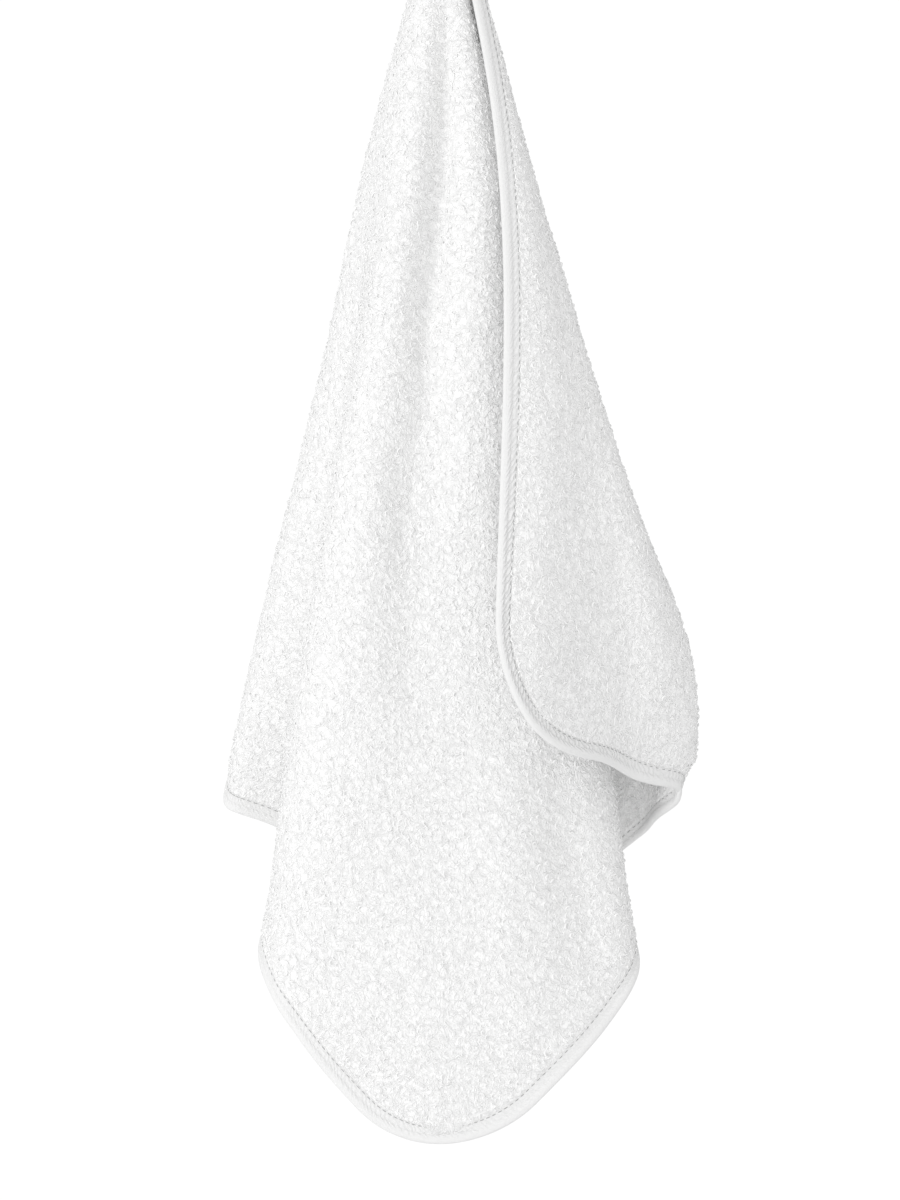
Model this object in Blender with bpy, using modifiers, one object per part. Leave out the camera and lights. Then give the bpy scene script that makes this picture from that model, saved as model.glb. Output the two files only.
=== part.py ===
"""Square terry hand towel hanging from one rounded corner, with a woven tape folded over its whole edge.

The cloth is one sheet. Its flat outline is a square with round corners: corner A is the one that is held, B
and D are its neighbours and C is the far corner. Every point of the cloth has a turn, the angle at A from
edge AB (0) to edge AD (90), and a reach, its distance from A. A hanging cloth keeps both, so the drape is a
table of where each fold stands at a few reaches. All lengths are metres; +Z is up and the front is -Y.
"""

import math

import bmesh
import bpy
import numpy as np

# Cloth, flat
SIDE = 0.500  # side of the square
CORNER_R = 0.070  # radius of its round corners
PILE_T = 0.0030  # terry cloth, pressed flat at neither side
EDGE_T = 0.0018  # the same cloth, flattened inside the tape
BIAS_SAG = 0.052  # share by which the diagonal A to C lengthens under the towel's own weight

# Binding tape
TAPE_W = 0.0080  # width that shows on each face
TAPE_T = 0.0008
SEAT_GAP = 0.0003  # clearance between the tape and the cloth inside it

# Mesh
CORNER_STEPS = 9  # columns that end on each round corner B, C and D
SIDE_STEPS = 29  # columns that end on each straight side BC and CD
REACH_STEPS = 27  # rows from the held corner to the hem
PILE_INSET = 0.0105  # where the full pile begins, behind the tape

MM = 0.001

# Where the drape is described: reach from the held corner, in mm
LEVELS = {"neck": 50, "shoulder": 140, "waist": 290, "skirt": 475, "hem": 565}

# Each fold: its turn in degrees, then how far it stands to the side (+X) and back (+Y) of the point that
# the cloth hangs from, in mm, at each level.
FOLD_COLUMNS = ("turn", "neck", "shoulder", "waist", "skirt", "hem")
FOLDS = {
    "edge_ab": (0, (9, -9.5), (25, -29), (33, -54), (28, -76), (30, -96)),
    "edge_ab_inside": (3.5, (11.5, -7.5), (32, -25), (50, -48), (48, -68), (43, -81)),
    "right_ridge": (9, (12.5, -3), (35, -14), (70, -31), (84, -38), (81, -47)),
    "right_step": (14, (12.5, 1), (36, -5), (77, -12), (116, -17), (90, 2)),
    "right_lobe": (18, (11.5, 4.5), (36.5, 5), (68, 7), (138, 10), (128, 22)),
    "right_turn": (21, (9.2, 6.5), (33, 12), (71, 22), (130, 34), (112, 46)),
    "right_back": (24, (6.5, 6), (25.5, 15), (61, 33), (119, 56), (109, 77)),
    "inner_bend": (27.5, (4.5, 3), (22, 6), (50, 22), (95, 54), (87, 76)),
    "inner_wall": (30.5, (4, -0.5), (23, -1), (47, 4), (91, 32), (94, 47)),
    "front_right": (33.5, (4.7, -4), (25, -10), (46, -14), (85, 9), (101, 18)),
    "front_shade": (38, (5.8, -7.8), (21, -20), (30, -31), (57, -14), (70, -6)),
    "front_ridge": (43, (3.8, -10.8), (8, -21), (6, -32), (17, -23), (19, -19)),
    "front_valley": (47, (0.5, -11.2), (0, -13), (-12, -25), (-15, -26), (-18, -24)),
    "front_lobe": (51, (-3, -11), (-9, -19), (-31, -34), (-45, -31), (-56, -26)),
    "front_left": (55, (-6, -10.5), (-18, -20), (-48, -26), (-75, -25), (-86, -17)),
    "left_turn": (58.5, (-8.2, -9.2), (-24, -14), (-51, -9), (-83, 1), (-97, 14)),
    "left_tuck": (62, (-9.5, -7), (-28, -7), (-50, 5), (-69, 24), (-80, 43)),
    "left_wall": (65.5, (-10.2, -4.5), (-31.5, 1), (-54, 19), (-78, 48), (-91, 71)),
    "left_lobe": (69, (-10.5, -2), (-33.5, 8), (-65, 32), (-106, 52), (-126, 63)),
    "back_turn": (74, (-10, 2.5), (-35, 19.5), (-67, 54), (-108, 87), (-122, 100)),
    "back_panel": (81, (-7.5, 8), (-24, 32), (-39, 66), (-56, 103), (-61, 114)),
    "edge_ad": (90, (-2.5, 13.5), (-3, 37), (3, 53), (11, 76), (30, 107)),
}

# Where the hem hangs lower or higher than its fold: turn and half width in degrees, drop in mm.
HEM_COLUMNS = ("turn", "half_turn", "drop")
HEM_DROPS = {
    "left_foot": (70.8, 2.0, 7),
    "left_tuck": (65.5, 2.5, -7),
    "right_corner": (17, 4.5, 6),
    "front_hem": (44, 4, -3.5),
}
HEM_BAND = (440, 545)  # reach where such a drop begins and where it is full, in mm

# Soft creases on top of the folds: turn and reach (mm) of both ends, half width and height (mm). A positive
# height stands out of the face that looks at the viewer on the front panel, and a negative one is a trough.
CREASE_COLUMNS = ("turn_0", "reach_0", "turn_1", "reach_1", "half_width", "height")
CREASES = {
    "front_low_trough": (38.5, 470, 36.5, 640, 17, -4.5),
    "front_low_ridge": (41.5, 450, 41, 640, 18, 2.5),
    "front_left_pull": (55.6, 430, 53.6, 405, 7, -1.6),
    "front_left_foot": (56, 560, 53.5, 625, 10, 2.2),
    "front_centre_pull": (46.5, 100, 47.5, 290, 7, -2.4),
    "front_middle_trough": (49, 300, 48, 470, 20, -3),
    "right_panel_trough": (10.5, 380, 12, 500, 13, 2.5),
    "right_hem_pinch": (17.5, 508, 17.5, 575, 20, 9),
}


def spline_weights(knots: np.ndarray, at: np.ndarray) -> np.ndarray:
    """Rows of weights that give a natural cubic spline through values at the knots."""
    count, gap = len(knots), np.diff(knots)
    bend, load = np.zeros((count, count)), np.zeros((count, count))
    bend[0, 0] = bend[-1, -1] = 1.0
    for i in range(1, count - 1):
        bend[i, i - 1 : i + 2] = gap[i - 1], 2 * (gap[i - 1] + gap[i]), gap[i]
        load[i, i - 1 : i + 2] = 6 / gap[i - 1], -6 / gap[i - 1] - 6 / gap[i], 6 / gap[i]
    curve = np.linalg.solve(bend, load)
    low = np.clip(np.searchsorted(knots, at, side="right") - 1, 0, count - 2)
    unit, span = np.eye(count), gap[low][:, None]
    left, right = (at - knots[low])[:, None], (knots[low + 1] - at)[:, None]
    return (
        (right**3 * curve[low] + left**3 * curve[low + 1]) / (6 * span)
        + (unit[low] / span - curve[low] * span / 6) * right
        + (unit[low + 1] / span - curve[low + 1] * span / 6) * left
    )


TURN_KNOTS = np.array([row[0] for row in FOLDS.values()])
REACH_KNOTS = np.array(list(LEVELS.values())) * MM
LEANS = np.array([row[1:] for row in FOLDS.values()]) * MM / REACH_KNOTS[None, :, None]


def hem_drop(turn: np.ndarray, reach: np.ndarray) -> np.ndarray:
    """How much farther down each point hangs where the hem is uneven."""
    start, full = HEM_BAND
    share = np.clip((reach / MM - start) / (full - start), 0.0, 1.0)
    drop = sum(fall * np.exp(-(((turn - centre) / half) ** 2)) for centre, half, fall in HEM_DROPS.values())
    return drop * MM * share**2 * (3 - 2 * share)


def folded(flat: np.ndarray) -> np.ndarray:
    """The draped place of flat points, before the creases."""
    reach = np.maximum(np.hypot(flat[:, 0], flat[:, 1]), 1e-6)
    turn = np.clip(np.degrees(np.arctan2(flat[:, 1], flat[:, 0])), 0.0, 90.0)
    across = spline_weights(TURN_KNOTS, turn)
    along = spline_weights(
        np.sqrt(REACH_KNOTS), np.sqrt(np.clip(reach, 0.6 * REACH_KNOTS[0], REACH_KNOTS[-1]))
    )
    side, back = (np.einsum("pi,pj,ijk->pk", across, along, LEANS) * reach[:, None]).T
    length = reach * (1 + BIAS_SAG * np.sin(2 * np.radians(turn)) ** 2) + hem_drop(turn, reach)
    drop = np.sqrt(np.maximum(length**2 - side**2 - back**2, 0.0))
    return np.stack([side, back, -drop], axis=1)


def face_normals(flat: np.ndarray, place) -> np.ndarray:
    """Unit normals of a draped surface, out of the face that the front panel shows."""
    step = 0.0005
    along_x = place(flat + (step, 0.0)) - place(flat - (step, 0.0))
    along_y = place(flat + (0.0, step)) - place(flat - (0.0, step))
    normal = np.cross(along_y, along_x)
    return normal / np.linalg.norm(normal, axis=1, keepdims=True)


def crease_height(flat: np.ndarray) -> np.ndarray:
    """Height of the soft creases at flat points, fading at both ends."""
    height = np.zeros(len(flat))
    for row in CREASES.values():
        turn_0, reach_0, turn_1, reach_1, half_width, rise = row
        ends = [
            reach * MM * np.array([math.cos(math.radians(turn)), math.sin(math.radians(turn))])
            for turn, reach in ((turn_0, reach_0), (turn_1, reach_1))
        ]
        run = ends[1] - ends[0]
        share = (flat - ends[0]) @ run / (run @ run)
        off = np.linalg.norm(flat - ends[0] - np.clip(share, 0, 1)[:, None] * run, axis=1)
        taper = np.sin(np.pi * np.clip(share, 0.0, 1.0)) ** 0.7
        height += rise * MM * taper * np.exp(-((off / (half_width * MM)) ** 2))
    return height


def draped(flat: np.ndarray) -> np.ndarray:
    """The draped middle surface of the cloth, with its creases, from the point that the cloth hangs from."""
    near = np.maximum(flat, 0.0)
    return folded(near) + crease_height(near)[:, None] * face_normals(near, folded)


def outline_turns(inset: float) -> np.ndarray:
    """Turns of the columns, so that they end evenly on the corners and sides of the outline."""
    side, radius = SIDE - 2 * inset, CORNER_R - inset
    centre = side - radius
    bend = np.linspace(0.0, math.pi / 2, CORNER_STEPS + 1)
    corner_b = np.arctan2(radius * (1 - np.cos(bend)), centre + radius * np.sin(bend))
    corner_c = np.arctan2(centre + radius * np.sin(bend), centre + radius * np.cos(bend))
    straight = np.linspace(corner_b[-1], corner_c[0], SIDE_STEPS + 1)
    half = np.concatenate([corner_b, straight[1:], corner_c[1:]])
    return np.concatenate([half, (math.pi / 2 - half[: -CORNER_STEPS - 1])[::-1]])


def outline_reach(turn: np.ndarray, inset: float) -> tuple[np.ndarray, np.ndarray]:
    """Nearest and farthest reach of the outline, moved in by inset, along each turn from its own corner A."""
    side, radius = SIDE - 2 * inset, CORNER_R - inset
    cos, sin = np.cos(turn), np.sin(turn)
    total = cos + sin
    near = radius * (total - np.sqrt(np.maximum(total**2 - 1, 0.0)))
    far = side / np.maximum(cos, sin)
    centre = side - radius
    for cx, cy in ((centre, radius), (centre, centre), (radius, centre)):
        mid = cos * cx + sin * cy
        room = mid**2 - (cx**2 + cy**2 - radius**2)
        hit = mid + np.sqrt(np.maximum(room, 0.0))
        beyond = np.sign(cx - side / 2) * (hit * cos - cx) > -1e-9
        beyond &= np.sign(cy - side / 2) * (hit * sin - cy) > -1e-9
        far = np.where(beyond & (room > -1e-9), hit, far)
    return near, far


def outward(flat: np.ndarray) -> np.ndarray:
    """Flat direction straight out of the nearest edge, for points on or beside the outline."""
    middle = SIDE / 2
    reach = middle - CORNER_R
    off = (flat - middle) - np.clip(flat - middle, -reach, reach)
    return off / np.linalg.norm(off, axis=1, keepdims=True)


def strip(inner: np.ndarray, outer: np.ndarray) -> list[tuple[int, int, int]]:
    """Triangles between two closed rings of vertices, cut from each outer vertex to the next inner one."""
    faces = []
    for k in range(len(inner)):
        after = (k + 1) % len(inner)
        faces += [(outer[k], inner[k], inner[after]), (outer[k], inner[after], outer[after])]
    return faces


def cloth_grid() -> tuple[np.ndarray, list[tuple[int, ...]], list[np.ndarray]]:
    """Flat points and faces of the cloth, and its rings of rim vertices from the pile out to the edge."""
    turn = outline_turns(PILE_INSET)
    near, far = outline_reach(turn, PILE_INSET)
    share = np.linspace(0.0, 1.0, REACH_STEPS + 1)
    reach = near[:, None] + (far - near)[:, None] * share[None]
    flat = np.stack([reach * np.cos(turn)[:, None], reach * np.sin(turn)[:, None]], axis=2)
    flat = flat.reshape(-1, 2) + PILE_INSET
    index = np.arange(len(flat)).reshape(len(turn), REACH_STEPS + 1)
    faces = [
        (index[i, j], index[i + 1, j], index[i + 1, j + 1], index[i, j + 1])
        for i in range(len(turn) - 1)
        for j in range(REACH_STEPS)
    ]
    rim = np.concatenate([index[0, :-1], index[:-1, -1], index[-1, :0:-1], index[:0:-1, 0]])
    rings = [rim]
    for distance in (PILE_INSET - TAPE_W - SEAT_GAP, PILE_INSET):
        ring_flat = flat[rim] + outward(flat[rim]) * distance
        ring = np.arange(len(rim)) + len(flat)
        flat = np.concatenate([flat, ring_flat])
        faces += strip(rings[-1], ring)
        rings.append(ring)
    return flat, [tuple(int(v) for v in face) for face in faces], rings


def mesh_object(name: str, points: np.ndarray, faces: list, home: bpy.types.Collection) -> bpy.types.Object:
    """An open surface as an object with its faces turned one way."""
    mesh = bpy.data.meshes.new(name)
    mesh.from_pydata([tuple(map(float, p)) for p in points], [], faces)
    work = bmesh.new()
    work.from_mesh(mesh)
    bmesh.ops.recalc_face_normals(work, faces=work.faces)
    work.to_mesh(mesh)
    work.free()
    for polygon in mesh.polygons:
        polygon.use_smooth = True
    thing = bpy.data.objects.new(name, mesh)
    home.objects.link(thing)
    return thing


def thicken(thing: bpy.types.Object, thickness: float) -> bpy.types.SolidifyModifier:
    """Give a middle surface its thickness, half to each side."""
    solid = thing.modifiers.new("Thickness", "SOLIDIFY")
    solid.thickness, solid.offset = thickness, 0.0
    solid.use_rim = True
    return solid


def fabric(name: str, colour: tuple[float, float, float], roughness: float) -> bpy.types.Material:
    """A plain matt fabric."""
    material = bpy.data.materials.new(name)
    material.use_nodes = True
    shader = material.node_tree.nodes["Principled BSDF"]
    shader.inputs["Base Color"].default_value = (*colour, 1.0)
    shader.inputs["Roughness"].default_value = roughness
    shader.inputs["Metallic"].default_value = 0.0
    return material


def hang_point() -> np.ndarray:
    """The top of the tape at the middle of corner A, which is the part's origin."""
    tip = np.full((1, 2), CORNER_R * (1 - math.sqrt(0.5)))
    over = EDGE_T / 2 + SEAT_GAP + TAPE_T
    return draped(tip)[0] + (0.0, 0.0, over)


def build_cloth(home: bpy.types.Collection) -> tuple[bpy.types.Object, list[np.ndarray]]:
    """The terry sheet, full in the field and flattened where the tape holds it."""
    flat, faces, rings = cloth_grid()
    cloth = mesh_object("towel_cloth", draped(flat) - hang_point(), faces, home)
    pile = cloth.vertex_groups.new(name="pile")
    pile.add(list(range(len(flat) - 2 * len(rings[0]))), 1.0, "REPLACE")
    solid = thicken(cloth, PILE_T)
    solid.vertex_group = pile.name
    solid.thickness_vertex_group = EDGE_T / PILE_T
    cloth.data.materials.append(fabric("white_terry", (0.88, 0.88, 0.87), 0.95))
    return cloth, rings


def build_tape(cloth: bpy.types.Object, rings: list[np.ndarray], home: bpy.types.Collection) -> bpy.types.Object:
    """The tape folded over the whole edge, following the cloth inside it."""
    mesh = cloth.data
    inner, edge = (
        (
            np.array([mesh.vertices[int(v)].co for v in ring]),
            np.array([mesh.vertices[int(v)].normal for v in ring]),
        )
        for ring in rings[1:]
    )
    out = edge[0] - inner[0]
    out /= np.linalg.norm(out, axis=1, keepdims=True)
    half = EDGE_T / 2 + SEAT_GAP + TAPE_T / 2
    lap = TAPE_W / (TAPE_W + SEAT_GAP)
    foot, foot_normal = (edge[i] + (inner[i] - edge[i]) * lap for i in (0, 1))
    diagonal = math.sqrt(0.5)
    section = [(foot, foot_normal, 0.0, 1.0)]
    section += [
        (edge[0], edge[1], roll, rise)
        for roll, rise in ((0, 1), (diagonal, diagonal), (1, 0), (diagonal, -diagonal), (0, -1))
    ]
    section.append((foot, foot_normal, 0.0, -1.0))
    points = np.stack(
        [place + out * roll * half + normal * rise * half for place, normal, roll, rise in section], axis=1
    )
    lines = np.arange(points.shape[0] * points.shape[1]).reshape(points.shape[:2]).T
    pairs = [(0, 1)] + [(j, j + 1) for j in range(1, len(section) - 2)] + [(len(section) - 1, len(section) - 2)]
    faces = [tuple(map(int, face)) for a, b in pairs for face in strip(lines[a], lines[b])]
    tape = mesh_object("edge_binding", points.reshape(-1, 3), faces, home)
    thicken(tape, TAPE_T)
    tape.data.materials.append(fabric("white_tape", (0.92, 0.92, 0.91), 0.8))
    return tape


def main() -> None:
    """Clear the scene and build the towel."""
    for thing in list(bpy.data.objects):
        bpy.data.objects.remove(thing, do_unlink=True)
    home = bpy.data.collections.new("hand_towel")
    bpy.context.scene.collection.children.link(home)
    cloth, rings = build_cloth(home)
    build_tape(cloth, rings, home)


main()
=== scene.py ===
"""Looks of a square terry hand towel that hangs from one rounded corner.

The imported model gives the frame. The towel is built again here from the same fold table, with finer faces:
a lumpy terry sheet, a pile of yarn loops on both of its faces, the woven tape over its edge and the two rows
of stitches that hold the tape. All lengths are metres unless a name or a comment says mm.
"""

import logging
import math
from collections.abc import Callable
from dataclasses import dataclass
from enum import Enum
from typing import NamedTuple

import bmesh
import bpy
import numpy as np
from bpy.types import Material, Node, NodeLinks, NodeSocket, NodeTree, Nodes, Object, Scene
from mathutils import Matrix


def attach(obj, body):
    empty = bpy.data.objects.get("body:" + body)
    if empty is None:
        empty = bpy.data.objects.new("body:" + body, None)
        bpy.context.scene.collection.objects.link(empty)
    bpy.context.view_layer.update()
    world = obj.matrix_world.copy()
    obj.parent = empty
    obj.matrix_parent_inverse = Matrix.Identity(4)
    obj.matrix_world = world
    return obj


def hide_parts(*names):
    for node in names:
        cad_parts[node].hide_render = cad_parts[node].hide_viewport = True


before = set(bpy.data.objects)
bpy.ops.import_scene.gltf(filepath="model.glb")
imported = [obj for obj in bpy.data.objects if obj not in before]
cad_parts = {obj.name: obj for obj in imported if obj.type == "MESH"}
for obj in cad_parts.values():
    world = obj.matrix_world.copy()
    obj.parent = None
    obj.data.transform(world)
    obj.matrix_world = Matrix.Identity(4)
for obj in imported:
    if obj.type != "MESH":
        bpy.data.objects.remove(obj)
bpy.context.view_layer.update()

logging.basicConfig(level=logging.INFO, format="%(message)s")
LOG = logging.getLogger("hand_towel")

MM = 0.001
TINY = 1e-6
BODY = "root"

# Where the drape is described: reach from the held corner, in mm
LEVELS = {"neck": 50, "shoulder": 140, "waist": 290, "skirt": 475, "hem": 565}

# Each fold: its turn in degrees, then how far it stands to the side (+X) and back (+Y) of the point that
# the cloth hangs from, in mm, at each level.
FOLD_COLUMNS = ("turn", "neck", "shoulder", "waist", "skirt", "hem")
FOLDS = {
    "edge_ab": (0, (9, -9.5), (25, -29), (33, -54), (28, -76), (30, -96)),
    "edge_ab_inside": (3.5, (11.5, -7.5), (32, -25), (50, -48), (48, -68), (43, -81)),
    "right_ridge": (9, (12.5, -3), (35, -14), (70, -31), (84, -38), (81, -47)),
    "right_step": (14, (12.5, 1), (36, -5), (77, -12), (116, -17), (90, 2)),
    "right_lobe": (18, (11.5, 4.5), (36.5, 5), (68, 7), (138, 10), (128, 22)),
    "right_turn": (21, (9.2, 6.5), (33, 12), (71, 22), (130, 34), (112, 46)),
    "right_back": (24, (6.5, 6), (25.5, 15), (61, 33), (119, 56), (109, 77)),
    "inner_bend": (27.5, (4.5, 3), (22, 6), (50, 22), (95, 54), (87, 76)),
    "inner_wall": (30.5, (4, -0.5), (23, -1), (47, 4), (91, 32), (94, 47)),
    "front_right": (33.5, (4.7, -4), (25, -10), (46, -14), (85, 9), (101, 18)),
    "front_shade": (38, (5.8, -7.8), (21, -20), (30, -31), (57, -14), (70, -6)),
    "front_ridge": (43, (3.8, -10.8), (8, -21), (6, -32), (17, -23), (19, -19)),
    "front_valley": (47, (0.5, -11.2), (0, -13), (-12, -25), (-15, -26), (-18, -24)),
    "front_lobe": (51, (-3, -11), (-9, -19), (-31, -34), (-45, -31), (-56, -26)),
    "front_left": (55, (-6, -10.5), (-18, -20), (-48, -26), (-75, -25), (-86, -17)),
    "left_turn": (58.5, (-8.2, -9.2), (-24, -14), (-51, -9), (-83, 1), (-97, 14)),
    "left_tuck": (62, (-9.5, -7), (-28, -7), (-50, 5), (-69, 24), (-80, 43)),
    "left_wall": (65.5, (-10.2, -4.5), (-31.5, 1), (-54, 19), (-78, 48), (-91, 71)),
    "left_lobe": (69, (-10.5, -2), (-33.5, 8), (-65, 32), (-106, 52), (-126, 63)),
    "back_turn": (74, (-10, 2.5), (-35, 19.5), (-67, 54), (-108, 87), (-122, 100)),
    "back_panel": (81, (-7.5, 8), (-24, 32), (-39, 66), (-56, 103), (-61, 114)),
    "edge_ad": (90, (-2.5, 13.5), (-3, 37), (3, 53), (11, 76), (30, 107)),
}


class HemDrop(NamedTuple):
    """A place where the hem hangs lower than its fold: its turn and half width (degrees) and drop (mm)."""

    turn: float
    half_turn: float
    drop: float


HEM_DROPS = {
    "left_foot": HemDrop(70.8, 2.0, 7),
    "left_tuck": HemDrop(65.5, 2.5, -7),
    "right_corner": HemDrop(17, 4.5, 6),
    "front_hem": HemDrop(44, 4, -3.5),
}
HEM_BAND = (440, 545)  # reach where such a drop begins and where it is full, in mm


class Crease(NamedTuple):
    """A soft crease: turn (degrees) and reach (mm) of both ends, half width (mm) and height (mm).

    A positive height stands out of the face that the front panel shows, and a negative one is a trough.
    """

    turn_0: float
    reach_0: float
    turn_1: float
    reach_1: float
    half_width: float
    height: float

    def end(self, which: int) -> np.ndarray:
        """The flat place of the first end (0) or the second (1), in metres."""
        turn, reach = (self.turn_0, self.reach_0) if which == 0 else (self.turn_1, self.reach_1)
        return reach * MM * np.array([math.cos(math.radians(turn)), math.sin(math.radians(turn))])


CREASES = {
    "front_low_trough": Crease(38.5, 470, 36.5, 640, 17, -4.5),
    "front_low_ridge": Crease(41.5, 450, 41, 640, 18, 2.5),
    "front_left_pull": Crease(55.6, 430, 53.6, 405, 7, -1.6),
    "front_left_foot": Crease(56, 560, 53.5, 625, 10, 2.2),
    "front_centre_pull": Crease(46.5, 100, 47.5, 290, 7, -2.4),
    "front_middle_trough": Crease(49, 300, 48, 470, 20, -3),
    "right_panel_trough": Crease(10.5, 380, 12, 500, 13, 2.5),
    "right_hem_pinch": Crease(17.5, 508, 17.5, 575, 20, 9),
}


class Layer(Enum):
    """The two faces of the cloth, as the sign of their side of the middle surface."""

    FACE = 1
    REVERSE = -1


class Half(Enum):
    """The two halves of the flat towel, on either side of its diagonal from the held corner."""

    NEAR_B = "b"
    NEAR_D = "d"


PATCH_ROWS = 400  # rows and columns of the patches' random values
PATCH_START = 20.0  # row and column at the flat towel's corner


def eased(share: np.ndarray) -> np.ndarray:
    """Ease a share from 0 to 1 in and out."""
    return share * share * (3 - 2 * share)


def rough_patches(flat: np.ndarray, pitch: float, seed: int) -> np.ndarray:
    """Smooth random values over the flat cloth.

    Args:
        flat: Flat points, one a row.
        pitch: Distance between two patches.
        seed: Seed of the patches.

    Returns:
        A value from -1 to 1 for each point.
    """
    values = np.random.default_rng(seed).uniform(-1.0, 1.0, (PATCH_ROWS, PATCH_ROWS))
    cell = flat / pitch + PATCH_START
    low = np.floor(cell).astype(int)
    share = eased(cell - low)
    low %= PATCH_ROWS - 1
    corner = [values[low[:, 0] + i, low[:, 1] + j] for i in (0, 1) for j in (0, 1)]
    near = corner[0] * (1 - share[:, 1]) + corner[1] * share[:, 1]
    far = corner[2] * (1 - share[:, 1]) + corner[3] * share[:, 1]
    return near * (1 - share[:, 0]) + far * share[:, 0]


def plain_mesh(name: str, points: np.ndarray, faces: list[tuple[int, ...]]) -> Object:
    """A mesh object at the origin, linked to the scene and shaded smooth, from its vertices and faces."""
    mesh = bpy.data.meshes.new(name)
    mesh.from_pydata(points.tolist(), [], faces)
    mesh.polygons.foreach_set("use_smooth", [True] * len(mesh.polygons))
    mesh.update()
    thing = bpy.data.objects.new(name, mesh)
    bpy.context.scene.collection.objects.link(thing)
    return thing


def lay_uv(thing: Object, flat: np.ndarray) -> None:
    """Give a mesh a UV map in metres, with the place of each vertex in it."""
    mesh = thing.data
    layer = mesh.uv_layers.new(name="flat")
    corner = np.empty(len(mesh.loops), dtype=np.int32)
    mesh.loops.foreach_get("vertex_index", corner)
    layer.data.foreach_set("uv", flat[corner].astype(np.float32).ravel())


def face_outwards(thing: Object) -> None:
    """Turn the faces of a closed mesh so that they all look outwards."""
    work = bmesh.new()
    work.from_mesh(thing.data)
    bmesh.ops.recalc_face_normals(work, faces=work.faces)
    work.to_mesh(thing.data)
    work.free()


def baked(thing: Object) -> Object:
    """Turn an object's modifiers into a plain mesh, and return the same object."""
    graph = bpy.context.evaluated_depsgraph_get()
    mesh = bpy.data.meshes.new_from_object(thing.evaluated_get(graph), depsgraph=graph)
    thing.modifiers.clear()
    thing.data = mesh
    mesh.name = thing.name
    mesh.polygons.foreach_set("use_smooth", [True] * len(mesh.polygons))
    return thing


def adopt(piece: Object) -> None:
    """Let a piece ride on the part and log how many triangles it has."""
    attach(piece, BODY)
    LOG.info("%s: %d triangles", piece.name, sum(len(p.vertices) - 2 for p in piece.data.polygons))


def wire(links: NodeLinks, *joins: tuple[Node, str | int, Node, str | int]) -> None:
    """Make links, each from a node and its output to a node and its input."""
    for giver, output, taker, entry in joins:
        links.new(giver.outputs[output], taker.inputs[entry])


def math_node(nodes: Nodes, operation: str, value: float) -> Node:
    """A math node whose second number is set."""
    node = nodes.new("ShaderNodeMath")
    node.operation = operation
    node.inputs[1].default_value = value
    return node


def tube_along(tree: NodeTree, path: NodeSocket, thickness: NodeSocket, sides: int) -> NodeSocket:
    """Add nodes that lay a closed tube along a curve.

    Args:
        tree: The node tree.
        path: The socket of the curve.
        thickness: The socket of the tube's thickness.
        sides: How many sides the tube has.

    Returns:
        The socket of the tube's mesh.
    """
    nodes, links = tree.nodes, tree.links
    ring = nodes.new("GeometryNodeCurvePrimitiveCircle")
    ring.inputs["Resolution"].default_value = sides
    radius = math_node(nodes, "MULTIPLY", 0.5)
    links.new(thickness, radius.inputs[0])
    links.new(radius.outputs[0], ring.inputs["Radius"])
    tube = nodes.new("GeometryNodeCurveToMesh")
    tube.inputs["Fill Caps"].default_value = True
    links.new(path, tube.inputs["Curve"])
    links.new(ring.outputs["Curve"], tube.inputs["Profile Curve"])
    return tube.outputs["Mesh"]


def dressed(tree: NodeTree, instances: NodeSocket, finish: NodeSocket) -> NodeSocket:
    """Add nodes that make instances real and give them their finish, and return the mesh's socket."""
    nodes, links = tree.nodes, tree.links
    real = nodes.new("GeometryNodeRealizeInstances")
    links.new(instances, real.inputs["Geometry"])
    dress = nodes.new("GeometryNodeSetMaterial")
    links.new(real.outputs["Geometry"], dress.inputs["Geometry"])
    links.new(finish, dress.inputs["Material"])
    return dress.outputs["Geometry"]


def input_sockets(tree: NodeTree) -> dict[str, str]:
    """The identifier of each named input of a node tree."""
    return {item.name: item.identifier for item in tree.interface.items_tree if item.in_out == "INPUT"}


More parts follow.
